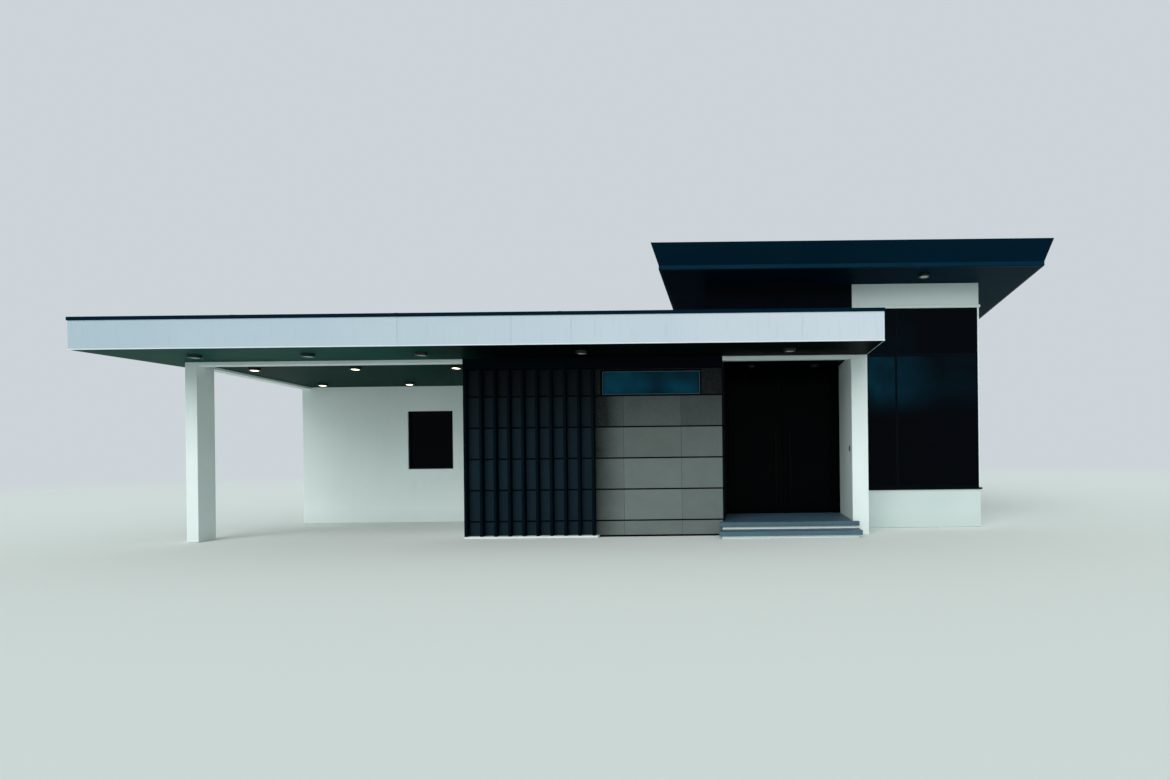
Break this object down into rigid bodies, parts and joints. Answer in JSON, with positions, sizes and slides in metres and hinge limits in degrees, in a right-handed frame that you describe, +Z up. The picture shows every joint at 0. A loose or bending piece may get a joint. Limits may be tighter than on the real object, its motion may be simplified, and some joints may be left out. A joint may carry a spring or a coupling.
{
  "type": "bungalow",
  "caption": "Modern single-storey house with a long flat canopy over a carport, a fin screen, a deep entrance with a double door, and a taller glazed wing under a raking roof",
  "frame": {"origin": "the middle of the plan of the whole house, at ground level", "axes": "+X along the street to the right as seen from it, +Y away from the street, +Z up"},
  "size_m": [17.242, 12.278, 5.6302],
  "materials": {
    "white_plaster": "painted plaster, smooth, matt",
    "grey_cladding": "painted fibre cement boards, matt",
    "dark_metal": "dark powder-coated metal, satin",
    "white_board": "white painted fascia boards",
    "dark_soffit": "dark painted soffit boards, semi-gloss",
    "dark_glass": "tinted reflective glass",
    "grey_stone": "blue-grey stone slabs, honed",
    "concrete": "trowelled concrete",
    "roof_metal": "grey coated sheet metal",
    "lamp_glass": "opal lens in a black rim"
  },
  "bodies": {
    "root": {"rear_floor": "concrete", "bedroom_floor": "concrete", "hall_floor": "concrete", "porch_slab": "grey_stone", "entry_step": "grey_stone", "step_bases": "white_plaster", "front_kerb": "white_plaster", "carport_pier": "white_plaster", "carport_beams": "white_plaster", "entrance_beam": "white_plaster", "carport_ceiling": "dark_soffit", "carport_rear_wall": "white_plaster", "carport_inner_wall": "white_plaster", "front_wall": "grey_cladding", "front_header": "dark_metal", "fins": "dark_metal", "entrance_left_wall": "grey_cladding", "entrance_side_wall": "white_plaster", "door_frame": "dark_metal", "door_threshold": "grey_stone", "door_bell": "dark_metal", "left_wall": "white_plaster", "rear_wall": "white_plaster", "rear_wall_tall": "white_plaster", "right_wall": "white_plaster", "wing_plinth": "white_plaster", "wing_band": "white_plaster", "wing_glazing_frame": "dark_metal", "wing_glass": "dark_glass", "tall_front_wall": "dark_metal", "tall_left_wall": "white_plaster", "front_fascia": "white_board", "side_fascias": "white_board", "rear_fascia": "white_board", "fascia_cap": "dark_metal", "canopy_slab_front": "dark_soffit", "canopy_slab_rear": "dark_soffit", "low_roof_deck": "roof_metal", "upper_soffit": "dark_soffit", "upper_roof_edge": "dark_metal", "upper_roof_deck": "roof_metal", "window_frames": "dark_metal", "window_glass": "dark_glass", "ceiling_lights": "lamp_glass"},
    "left_door": {"left_door_leaf": "dark_metal", "left_door_pull": "dark_metal"},
    "right_door": {"right_door_leaf": "dark_metal", "right_door_pull": "dark_metal"}
  },
  "joints": [
    {"name": "left_door_hinge", "type": "hinge", "parent": "root", "child": "left_door", "pos_m": [2.424, -2.729, 0.27], "axis": [0, 0, 1], "range_deg": [0, 90]},
    {"name": "right_door_hinge", "type": "hinge", "parent": "root", "child": "right_door", "pos_m": [4.521, -2.729, 0.27], "axis": [0, 0, -1], "range_deg": [0, 90]}
  ]
}
